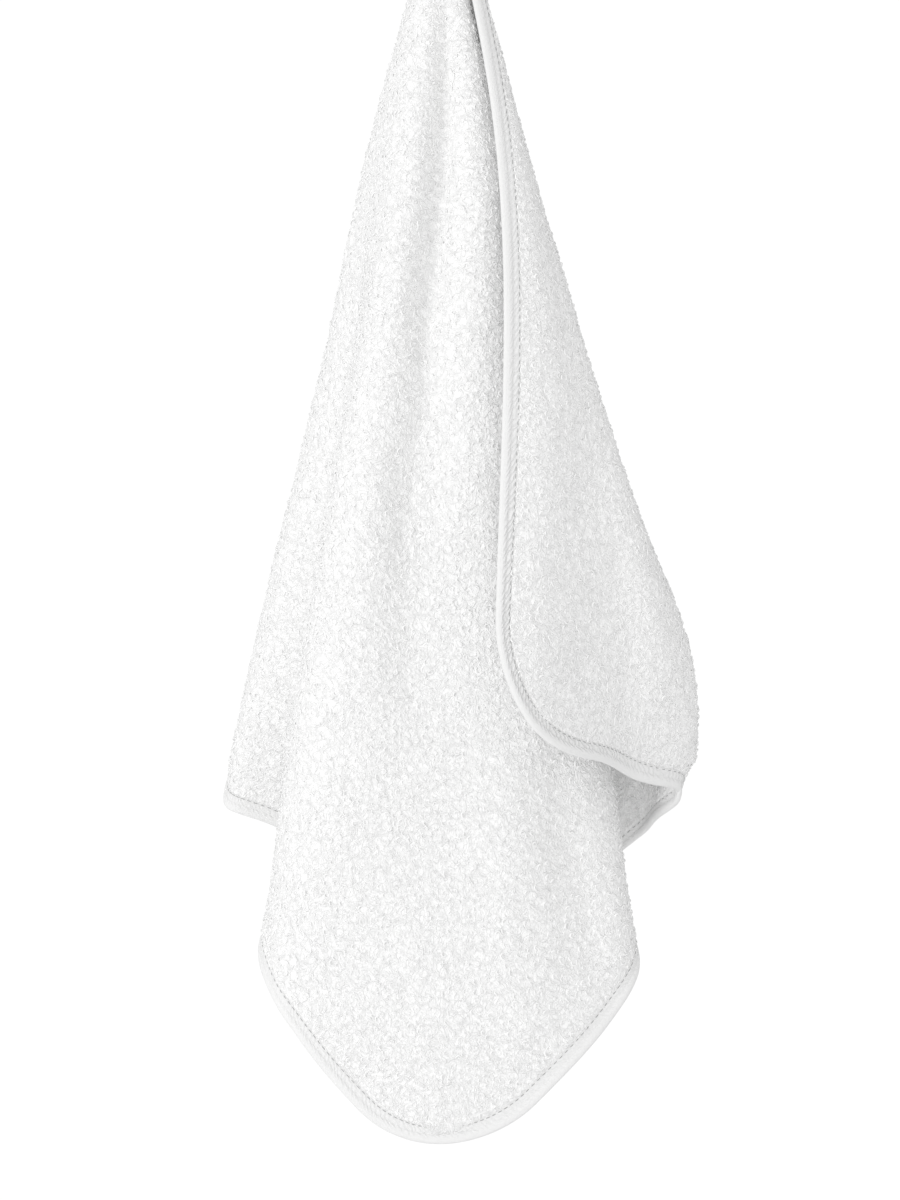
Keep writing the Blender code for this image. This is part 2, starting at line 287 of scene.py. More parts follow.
@dataclass(frozen=True)
class Cut:
    """The towel as it is cut, flat."""

    side: float = 0.500
    corner_r: float = 0.070
    sag: float = 0.052

    @property
    def area(self) -> float:
        """Flat area."""
        return self.side**2 - (4 - math.pi) * self.corner_r**2

    def outward(self, flat: np.ndarray) -> np.ndarray:
        """Flat direction straight out of the nearest edge."""
        middle = self.side / 2
        reach = middle - self.corner_r
        off = (flat - middle) - np.clip(flat - middle, -reach, reach)
        return off / np.linalg.norm(off, axis=1, keepdims=True)

    def stations(self, count: int) -> tuple[np.ndarray, np.ndarray, float]:
        """Places spaced evenly along the edge.

        Args:
            count: How many places.

        Returns:
            The flat points, the flat directions out of the edge there, and the edge's whole length.
        """
        straight, bend = self.side - 2 * self.corner_r, math.pi / 2 * self.corner_r
        quarter = straight + bend
        run = (np.arange(count) + 0.5) * 4 * quarter / count
        turns, along = np.divmod(run, quarter)
        angle = np.clip((along - straight) / self.corner_r, 0.0, None)
        out = np.stack([np.sin(angle), -np.cos(angle)], axis=1)
        half = self.side / 2
        centre = self.corner_r - half
        place = np.stack([np.minimum(along, straight) + centre, np.full(count, centre)], axis=1)
        place = place + out * self.corner_r
        cos, sin = np.round(np.cos(turns * math.pi / 2)), np.round(np.sin(turns * math.pi / 2))
        spun = [
            np.stack([cos * v[:, 0] - sin * v[:, 1], sin * v[:, 0] + cos * v[:, 1]], axis=1)
            for v in (place, out)
        ]
        return spun[0] + half, spun[1], 4 * quarter

    def field(self, inset: float, pitch: float) -> np.ndarray:
        """A grid over the cloth inside the tape, with its outer rows on the outline.

        Args:
            inset: How far the outline is moved in.
            pitch: Size of a cell.

        Returns:
            Flat points as an array of rows, columns and two coordinates.
        """
        side, radius = self.side - 2 * inset, self.corner_r - inset
        bend = np.linspace(0.0, math.pi / 2, round(radius / pitch) + 1)
        low, end = radius * (1 - np.cos(bend)), radius * (1 - np.sin(bend))
        middle = np.linspace(radius, side - radius, round((side - 2 * radius) / pitch) + 1)[1:-1]
        rise = np.concatenate([low, middle, side - low[::-1]])
        cut = np.concatenate([end, np.zeros(len(middle)), end[::-1]])
        share = np.linspace(0.0, 1.0, round(side / pitch) + 1)
        across = cut[:, None] + (side - 2 * cut)[:, None] * share
        return np.stack([across, np.broadcast_to(rise[:, None], across.shape)], axis=2) + inset


class Drape:
    """Where every flat point of the hanging towel is."""

    STEP = 0.0005  # half the flat distance over which a slope is measured
    OVER_TIP = 0.0020  # from the cloth's middle surface at the held corner up to the top of the tape
    TIP_SHARE = 0.6  # share of the first level's reach within which the folds keep their lean
    CREASE_FADE = 0.7  # power that fades a crease toward its ends

    def __init__(self, cut: Cut) -> None:
        """Read the fold table for a cut."""
        self.cut = cut
        self.turns = np.array([row[0] for row in FOLDS.values()], dtype=float)
        self.reaches = np.array([LEVELS[level] for level in FOLD_COLUMNS[1:]]) * MM
        self.leans = np.array([row[1:] for row in FOLDS.values()]) * MM / self.reaches[None, :, None]
        self.origin = np.zeros(3)
        tip = np.full((1, 2), cut.corner_r * (1 - math.sqrt(0.5)))
        self.origin = self.place(tip)[0] + (0.0, 0.0, self.OVER_TIP)

    @staticmethod
    def spline_weights(knots: np.ndarray, at: np.ndarray) -> np.ndarray:
        """Weights of a natural cubic spline.

        Args:
            knots: Where the values are given.
            at: Where they are wanted.

        Returns:
            A row of weights for each wanted place.
        """
        count, gap = len(knots), np.diff(knots)
        bend, load = np.zeros((count, count)), np.zeros((count, count))
        bend[0, 0] = bend[-1, -1] = 1.0
        for i in range(1, count - 1):
            bend[i, i - 1 : i + 2] = gap[i - 1], 2 * (gap[i - 1] + gap[i]), gap[i]
            load[i, i - 1 : i + 2] = 6 / gap[i - 1], -6 / gap[i - 1] - 6 / gap[i], 6 / gap[i]
        curve = np.linalg.solve(bend, load)
        low = np.clip(np.searchsorted(knots, at, side="right") - 1, 0, count - 2)
        unit, span = np.eye(count), gap[low][:, None]
        left, right = (at - knots[low])[:, None], (knots[low + 1] - at)[:, None]
        return (
            (right**3 * curve[low] + left**3 * curve[low + 1]) / (6 * span)
            + (unit[low] / span - curve[low] * span / 6) * right
            + (unit[low + 1] / span - curve[low + 1] * span / 6) * left
        )

    def hem_drop(self, turn: np.ndarray, reach: np.ndarray) -> np.ndarray:
        """How much farther down each point hangs where the hem is uneven."""
        start, full = HEM_BAND
        share = np.clip((reach / MM - start) / (full - start), 0.0, 1.0)
        rows = HEM_DROPS.values()
        drop = sum(row.drop * np.exp(-(((turn - row.turn) / row.half_turn) ** 2)) for row in rows)
        return drop * MM * eased(share)

    def folded(self, flat: np.ndarray) -> np.ndarray:
        """The hanging place of flat points, before the creases."""
        reach = np.maximum(np.hypot(flat[:, 0], flat[:, 1]), TINY)
        turn = np.clip(np.degrees(np.arctan2(flat[:, 1], flat[:, 0])), 0.0, 90.0)
        across = self.spline_weights(self.turns, turn)
        held = np.clip(reach, self.TIP_SHARE * self.reaches[0], self.reaches[-1])
        along = self.spline_weights(np.sqrt(self.reaches), np.sqrt(held))
        side, back = (np.einsum("pi,pj,ijk->pk", across, along, self.leans) * reach[:, None]).T
        length = reach * (1 + self.cut.sag * np.sin(2 * np.radians(turn)) ** 2) + self.hem_drop(turn, reach)
        drop = np.sqrt(np.maximum(length**2 - side**2 - back**2, 0.0))
        return np.stack([side, back, -drop], axis=1)

    def normals(self, flat: np.ndarray, place: Callable[[np.ndarray], np.ndarray]) -> np.ndarray:
        """Unit normals of a hanging surface, out of the face that the front panel shows."""
        along_x = place(flat + (self.STEP, 0.0)) - place(flat - (self.STEP, 0.0))
        along_y = place(flat + (0.0, self.STEP)) - place(flat - (0.0, self.STEP))
        normal = np.cross(along_y, along_x)
        return normal / np.linalg.norm(normal, axis=1, keepdims=True)

    def crease_height(self, flat: np.ndarray) -> np.ndarray:
        """Height of the soft creases at flat points, fading at both ends."""
        height = np.zeros(len(flat))
        for crease in CREASES.values():
            start, run = crease.end(0), crease.end(1) - crease.end(0)
            share = np.clip((flat - start) @ run / (run @ run), 0.0, 1.0)
            off = np.linalg.norm(flat - start - share[:, None] * run, axis=1)
            along = np.sin(np.pi * share) ** self.CREASE_FADE
            height += crease.height * MM * along * np.exp(-((off / (crease.half_width * MM)) ** 2))
        return height

    def place(self, flat: np.ndarray) -> np.ndarray:
        """The hanging place of flat points in the part's frame, on the cloth's middle surface."""
        near = np.maximum(flat, 0.0)
        lift = self.crease_height(near)[:, None] * self.normals(near, self.folded)
        return self.folded(near) + lift - self.origin

    def surface(self, flat: np.ndarray) -> tuple[np.ndarray, np.ndarray]:
        """The hanging places of flat points and the unit normals there."""
        return self.place(flat), self.normals(flat, self.place)


class FibreFuzz:
    """A shader group for the fine unevenness of cotton: short curls of yarn and their small shadows."""

    NAME = "fibre_fuzz"
    LINE = 2.6  # how narrow the shadow lines between the curls are
    CURL_DETAIL, CURL_ROUGHNESS, GRAIN_DETAIL = 3.0, 0.55, 2.0
    GRAIN_SCALE = 3.7  # how much finer the grain is than the curls
    STEEPNESS, RIDGE = 4.0, 0.5  # the noise is stretched by the first and folded back at the second
    GRAIN_SHARE = 0.35  # share of the grain in the height

    @classmethod
    def tree(cls) -> NodeTree:
        """Build the group once.

        Returns:
            The group, with a place, the curls per metre and their curliness in, and a shade and a height out.
        """
        if cls.NAME in bpy.data.node_groups:
            return bpy.data.node_groups[cls.NAME]
        tree = bpy.data.node_groups.new(cls.NAME, "ShaderNodeTree")
        face = tree.interface
        face.new_socket("Place", in_out="INPUT", socket_type="NodeSocketVector")
        for name in ("Curls per metre", "Curliness"):
            face.new_socket(name, in_out="INPUT", socket_type="NodeSocketFloat")
        for name in ("Shade", "Height"):
            face.new_socket(name, in_out="OUTPUT", socket_type="NodeSocketFloat")
        nodes, links = tree.nodes, tree.links
        source, sink = nodes.new("NodeGroupInput"), nodes.new("NodeGroupOutput")
        curls = nodes.new("ShaderNodeTexNoise")
        curls.inputs["Detail"].default_value = cls.CURL_DETAIL
        curls.inputs["Roughness"].default_value = cls.CURL_ROUGHNESS
        grain = nodes.new("ShaderNodeTexNoise")
        grain.inputs["Detail"].default_value = cls.GRAIN_DETAIL
        finer = math_node(nodes, "MULTIPLY", cls.GRAIN_SCALE)
        steep = math_node(nodes, "MULTIPLY", cls.STEEPNESS)
        ridge = math_node(nodes, "PINGPONG", cls.RIDGE)
        both = math_node(nodes, "MULTIPLY_ADD", cls.GRAIN_SHARE)
        line = math_node(nodes, "MULTIPLY_ADD", cls.LINE)
        line.use_clamp = True
        for texture in (curls, grain):
            links.new(source.outputs["Place"], texture.inputs["Vector"])
        wire(
            links,
            (source, "Curls per metre", curls, "Scale"),
            (source, "Curls per metre", finer, 0),
            (finer, 0, grain, "Scale"),
            (source, "Curliness", curls, "Distortion"),
            (curls, "Fac", steep, 0),
            (steep, 0, ridge, 0),
            (grain, "Fac", both, 0),
            (ridge, 0, both, 2),
            (ridge, 0, line, 0),
            (grain, "Fac", line, 2),
            (both, 0, sink, "Height"),
            (line, 0, sink, "Shade"),
        )
        return tree


@dataclass(frozen=True)
class Cotton:
    """A cotton finish: two near shades, a fuzz with its curls per metre, and a bump."""

    SPECULAR = 0.15
    SHEEN_ROUGHNESS = 0.6

    name: str
    light: tuple[float, float, float]
    dark: tuple[float, float, float]
    curls: float
    curliness: float
    bump: float
    bump_depth: float
    roughness: float
    sheen: float
    by_uv: bool

    def material(self) -> Material:
        """Build the material.

        Returns:
            The material, with its Principled shader set and its colour and normal linked.
        """
        material = bpy.data.materials.new(self.name)
        material.use_nodes = True
        nodes, links = material.node_tree.nodes, material.node_tree.links
        shader = nodes["Principled BSDF"]
        shader.inputs["Roughness"].default_value = self.roughness
        shader.inputs["Specular IOR Level"].default_value = self.SPECULAR
        shader.inputs["Sheen Weight"].default_value = self.sheen
        shader.inputs["Sheen Roughness"].default_value = self.SHEEN_ROUGHNESS
        place = nodes.new("ShaderNodeTexCoord").outputs["UV" if self.by_uv else "Object"]
        fuzz = nodes.new("ShaderNodeGroup")
        fuzz.node_tree = FibreFuzz.tree()
        fuzz.inputs["Curls per metre"].default_value = self.curls
        fuzz.inputs["Curliness"].default_value = self.curliness
        links.new(place, fuzz.inputs["Place"])
        tint = nodes.new("ShaderNodeMix")
        tint.data_type = "RGBA"
        tint.inputs["A"].default_value = (*self.dark, 1.0)
        tint.inputs["B"].default_value = (*self.light, 1.0)
        shade, height = self.pattern(material.node_tree, place, fuzz)
        links.new(shade, tint.inputs["Factor"])
        links.new(tint.outputs["Result"], shader.inputs["Base Color"])
        raised = nodes.new("ShaderNodeBump")
        raised.inputs["Strength"].default_value = self.bump
        raised.inputs["Distance"].default_value = self.bump_depth
        links.new(height, raised.inputs["Height"])
        links.new(raised.outputs["Normal"], shader.inputs["Normal"])
        return material

    def pattern(self, tree: NodeTree, place: NodeSocket, fuzz: Node) -> tuple[NodeSocket, NodeSocket]:
        """The sockets that give the shade and the height; plain cotton has those of its fuzz."""
        return fuzz.outputs["Shade"], fuzz.outputs["Height"]


@dataclass(frozen=True)
class Twill(Cotton):
    """Woven cotton tape: the fuzz over fine slanting ribs, where the mesh's own mark says that ribs and
    painted shade show.
    """

    WAVES_PER_UNIT = 3.2  # waves in one unit at a scale of 1
    DISTORTION, DETAIL = 8.0, 2.0  # unevenness of the ribs
    FUZZ_SHARES = (("Shade", 0.35), ("Height", 0.4))

    ribs_per_metre: float = 420.0
    slant: float = -0.9
    mark: str = "ribbed"

    def pattern(self, tree: NodeTree, place: NodeSocket, fuzz: Node) -> tuple[NodeSocket, NodeSocket]:
        """Add the ribs to the fuzz.

        Args:
            tree: The material's node tree.
            place: The place along and across the tape.
            fuzz: The fuzz's node.

        Returns:
            The sockets of the shade and of the height.
        """
        nodes, links = tree.nodes, tree.links
        turned, marked = nodes.new("ShaderNodeMapping"), nodes.new("ShaderNodeAttribute")
        turned.inputs["Rotation"].default_value = (0.0, 0.0, self.slant)
        marked.attribute_name = self.mark
        ribs = nodes.new("ShaderNodeTexWave")
        ribs.inputs["Scale"].default_value = self.ribs_per_metre / self.WAVES_PER_UNIT
        ribs.inputs["Distortion"].default_value = self.DISTORTION
        ribs.inputs["Detail"].default_value = self.DETAIL
        links.new(place, turned.inputs["Vector"])
        links.new(turned.outputs["Vector"], ribs.inputs["Vector"])
        # Ribs where the mark says so, plain light elsewhere: partly the weave, partly painted shade on the
        # band and painted light on the roll
        ribs_with_painted_shade = nodes.new("ShaderNodeMix")
        ribs_with_painted_shade.inputs["A"].default_value = 1.0
        links.new(marked.outputs["Fac"], ribs_with_painted_shade.inputs["Factor"])
        links.new(ribs.outputs["Fac"], ribs_with_painted_shade.inputs["B"])
        sums = []
        for name, share in self.FUZZ_SHARES:
            total = math_node(nodes, "MULTIPLY_ADD", share)
            links.new(fuzz.outputs[name], total.inputs[0])
            links.new(ribs_with_painted_shade.outputs["Result"], total.inputs[2])
            sums.append(total.outputs[0])
        return sums[0], sums[1]


TERRY = Cotton(
    "white_terry", light=(0.97, 0.97, 0.967), dark=(0.84, 0.84, 0.838), curls=230.0, curliness=1.2,
    bump=0.8, bump_depth=0.0016, roughness=0.95, sheen=0.2, by_uv=True,
)
YARN = Cotton(
    "loop_yarn", light=(0.97, 0.97, 0.967), dark=(0.92, 0.92, 0.917), curls=1500.0, curliness=0.5,
    bump=0.35, bump_depth=0.0002, roughness=0.95, sheen=0.3, by_uv=False,
)
# The tape's dark tone is partly its rib pattern and partly painted shade on its flat band beside the light
# roll
TAPE = Twill(
    "white_tape", light=(0.84, 0.84, 0.837), dark=(0.66, 0.66, 0.657), curls=900.0, curliness=0.3,
    bump=0.7, bump_depth=0.0011, roughness=0.85, sheen=0.15, by_uv=True,
)
# The thread is painted dark as painted shadow of the stitch holes; the thread itself is white
PAINTED_SHADOW_THREAD = Cotton(
    "sewing_thread", light=(0.25, 0.25, 0.25), dark=(0.16, 0.16, 0.16), curls=2500.0, curliness=0.2,
    bump=0.3, bump_depth=0.0001, roughness=0.7, sheen=0.1, by_uv=False,
)


@dataclass
class TerryCloth:
    """The terry sheet with its lumpy pile, closed all round."""

    LUMPS = ((0.00032, 0.0034), (0.00014, 0.0062), (0.00010, 0.020))  # height and pitch, small ones first
    LUMP_SEEDS = {Layer.FACE: 11, Layer.REVERSE: 47}
    RIPPLES = ((0.0007, 0.022, 5), (0.0003, 0.011, 6))  # height, pitch and seed
    RIPPLE_RUN = (0.40, 0.35)  # metres of ripple in a radian of turn and in a metre of reach
    RIPPLE_START = 0.3  # keeps the ripples clear of the first patches
    RIPPLE_REACH, RIPPLE_LEAST = 0.3, 0.15  # reach where ripples are full, and their share at the corner
    FADE_WIDTH = 0.012  # from the tape to where the ripples are full
    REVERSE_UV = (0.6, 0.0)  # moves the reverse's UV map clear of the face's

    cut: Cut
    drape: Drape
    pitch: float = 0.00235
    inset: float = 0.0083
    tuck_inset: float = 0.0078
    edge_inset: float = 0.0012
    half_pile: float = 0.00115
    half_flat: float = 0.0007

    def pile_height(self, flat: np.ndarray, layer: Layer) -> np.ndarray:
        """Half thickness of the terry at flat points, with clumps of loops and softer, wider lumps."""
        rows = enumerate(self.LUMPS, start=self.LUMP_SEEDS[layer])
        lumps = sum(height * rough_patches(flat, pitch, seed) for seed, (height, pitch) in rows)
        return self.half_pile + lumps

    def ripple(self, flat: np.ndarray) -> np.ndarray:
        """Soft unevenness of the whole sheet, longer down the folds than across them."""
        turn = np.arctan2(flat[:, 1], flat[:, 0])
        reach = np.hypot(flat[:, 0], flat[:, 1])
        spot = np.stack([turn, reach], axis=1) * self.RIPPLE_RUN + self.RIPPLE_START
        waves = sum(height * rough_patches(spot, pitch, seed) for height, pitch, seed in self.RIPPLES)
        return waves * np.clip(reach / self.RIPPLE_REACH, self.RIPPLE_LEAST, 1.0)

    def build(self) -> tuple[Object, dict[tuple[Layer, Half], Object]]:
        """Build the sheet and, for the loops, the four stretches of its surface that they stand on.

        Returns:
            The sheet, and an open surface for each face and half.
        """
        grid = self.cut.field(self.inset, self.pitch)
        rows, columns = grid.shape[:2]
        flat = grid.reshape(-1, 2)
        index = np.arange(len(flat)).reshape(rows, columns)
        rim = np.concatenate([index[0, :-1], index[:-1, -1], index[-1, :0:-1], index[:0:-1, 0]])
        out = self.cut.outward(flat[rim])
        rings = [flat[rim] + out * (self.inset - inset) for inset in (self.tuck_inset, self.edge_inset)]
        every = np.concatenate([flat, *rings])
        middle, normal = self.drape.surface(every)
        shift = self.ripple(every) * self.fade(every)
        middle = middle + normal * shift[:, None]
        quads = np.stack([index[:-1, :-1], index[1:, :-1], index[1:, 1:], index[:-1, 1:]], axis=2)
        quads = quads.reshape(-1, 4)
        halves, sides = {}, []
        for layer in Layer:
            thick = self.pile_height(every, layer)
            thick[len(flat) :] = self.half_flat
            sides.append(middle + normal * (layer.value * thick)[:, None])
            facing = quads if layer is Layer.FACE else quads[:, ::-1]
            slope = flat[facing].mean(axis=1)
            for half in Half:
                keep = (slope[:, 0] >= slope[:, 1]) == (half is Half.NEAR_B)
                name = f"ground_{layer.name.lower()}_{half.value}"
                used, faces = np.unique(facing[keep], return_inverse=True)
                faces = faces.reshape(-1, 4)
                halves[layer, half] = plain_mesh(name, sides[-1][used], [tuple(f) for f in faces.tolist()])
        faces = quads.tolist() + (quads[:, ::-1] + len(every)).tolist()
        count = len(rim)
        ring_index = [rim, np.arange(count) + len(flat), np.arange(count) + len(flat) + count]
        after = np.roll(np.arange(count), -1)
        for inner, outer in zip(ring_index, ring_index[1:]):
            strip = np.stack([inner, inner[after], outer[after], outer], axis=1)
            faces += strip[:, ::-1].tolist() + (strip + len(every)).tolist()
        last = ring_index[-1]
        border = np.stack([last, last[after], last[after] + len(every), last + len(every)], axis=1)
        faces += border[:, ::-1].tolist()
        sheet = plain_mesh("terry_sheet", np.concatenate(sides), faces)
        face_outwards(sheet)
        lay_uv(sheet, np.concatenate([every, every + self.REVERSE_UV]))
        sheet.data.materials.append(TERRY.material())
        adopt(sheet)
        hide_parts("towel_cloth")
        return sheet, halves

    def fade(self, flat: np.ndarray) -> np.ndarray:
        """From 0 at the tape to 1 in the field."""
        half = self.cut.side / 2
        edge = half - np.max(np.abs(flat - half), axis=1)
        return np.clip((edge - self.inset) / self.FADE_WIDTH, 0.0, 1.0)


@dataclass
class Loops:
    """The pile of yarn loops, set by Geometry Nodes."""

    DENSEST = 400000.0  # loops in a square metre, before the spacing
    ARC_START, ARC_SWEEP = -20, 220  # a loop's start and run on its circle, in degrees
    SIDES = 3
    SCALES = (0.75, 1.35)
    TURN_LEAST, TURN_MOST = (45, -15, 0), (95, 15, 360)  # degrees of lean, of twist and about the normal

    apart: float = 0.00295
    yarn: float = 0.0008
    loop_r: float = 0.00115
    bends: int = 4

    def tree(self) -> NodeTree:
        """Build the node tree that scatters loops over a surface.

        Returns:
            The tree, with named inputs for the loops' sizes, their spacing, the seed and the finish.
        """
        tree = bpy.data.node_groups.new("terry_loops", "GeometryNodeTree")
        face = tree.interface
        face.new_socket("Ground", in_out="INPUT", socket_type="NodeSocketGeometry")
        for name, value in (("Apart", self.apart), ("Yarn", self.yarn), ("Loop radius", self.loop_r)):
            face.new_socket(name, in_out="INPUT", socket_type="NodeSocketFloat").default_value = value
        face.new_socket("Bends", in_out="INPUT", socket_type="NodeSocketInt").default_value = self.bends
        face.new_socket("Seed", in_out="INPUT", socket_type="NodeSocketInt").default_value = 1
        face.new_socket("Finish", in_out="INPUT", socket_type="NodeSocketMaterial")
        face.new_socket("Loops", in_out="OUTPUT", socket_type="NodeSocketGeometry")
        nodes, links = tree.nodes, tree.links
        source, sink = nodes.new("NodeGroupInput"), nodes.new("NodeGroupOutput")
        points = nodes.new("GeometryNodeDistributePointsOnFaces")
        points.distribute_method = "POISSON"
        points.inputs["Density Max"].default_value = self.DENSEST
        wire(
            links,
            (source, "Ground", points, "Mesh"),
            (source, "Apart", points, "Distance Min"),
            (source, "Seed", points, "Seed"),
        )
        arc = nodes.new("GeometryNodeCurveArc")
        arc.mode = "RADIUS"
        arc.inputs["Start Angle"].default_value = math.radians(self.ARC_START)
        arc.inputs["Sweep Angle"].default_value = math.radians(self.ARC_SWEEP)
        links.new(source.outputs["Bends"], arc.inputs["Resolution"])
        links.new(source.outputs["Loop radius"], arc.inputs["Radius"])
        upright = nodes.new("GeometryNodeTransform")
        upright.inputs["Rotation"].default_value = (math.pi / 2, 0.0, 0.0)
        links.new(arc.outputs["Curve"], upright.inputs["Geometry"])
        tube = tube_along(tree, upright.outputs["Geometry"], source.outputs["Yarn"], self.SIDES)
        lean = self.random_rotation(tree, source.outputs["Seed"])
        turned = nodes.new("FunctionNodeRotateRotation")
        turned.rotation_space = "LOCAL"
        links.new(points.outputs["Rotation"], turned.inputs["Rotation"])
        links.new(lean, turned.inputs["Rotate By"])
        size = nodes.new("FunctionNodeRandomValue")
        size.data_type = "FLOAT"
        size.inputs[2].default_value, size.inputs[3].default_value = self.SCALES
        links.new(source.outputs["Seed"], size.inputs["Seed"])
        loops = nodes.new("GeometryNodeInstanceOnPoints")
        links.new(points.outputs["Points"], loops.inputs["Points"])
        links.new(tube, loops.inputs["Instance"])
        links.new(turned.outputs["Rotation"], loops.inputs["Rotation"])
        links.new(size.outputs[1], loops.inputs["Scale"])
        pile = dressed(tree, loops.outputs["Instances"], source.outputs["Finish"])
        links.new(pile, sink.inputs["Loops"])
        return tree

    def random_rotation(self, tree: NodeTree, seed: NodeSocket) -> NodeSocket:
        """The socket of a turn about the surface's normal and a lean to one side, different for each loop."""
        nodes, links = tree.nodes, tree.links
        spin = nodes.new("FunctionNodeRandomValue")
        spin.data_type = "FLOAT_VECTOR"
        for limit, angles in enumerate((self.TURN_LEAST, self.TURN_MOST)):
            spin.inputs[limit].default_value = [math.radians(angle) for angle in angles]
        links.new(seed, spin.inputs["Seed"])
        turn = nodes.new("FunctionNodeEulerToRotation")
        links.new(spin.outputs[0], turn.inputs["Euler"])
        return turn.outputs["Rotation"]

    def build(self, grounds: dict[tuple[Layer, Half], Object]) -> list[Object]:
        """Grow the loops of each stretch of cloth.

        Args:
            grounds: The surface that each stretch of loops stands on.

        Returns:
            The pieces of pile.
        """
        tree, finish, piles = self.tree(), YARN.material(), []
        socket = input_sockets(tree)
        for seed, ((layer, half), ground) in enumerate(grounds.items(), start=1):
            ground.name = f"pile_{layer.name.lower()}_{half.value}"
            grow = ground.modifiers.new("Loops", "NODES")
            grow.node_group = tree
            grow[socket["Seed"]] = seed
            grow[socket["Finish"]] = finish
            piles.append(baked(ground))
            adopt(ground)
        return piles


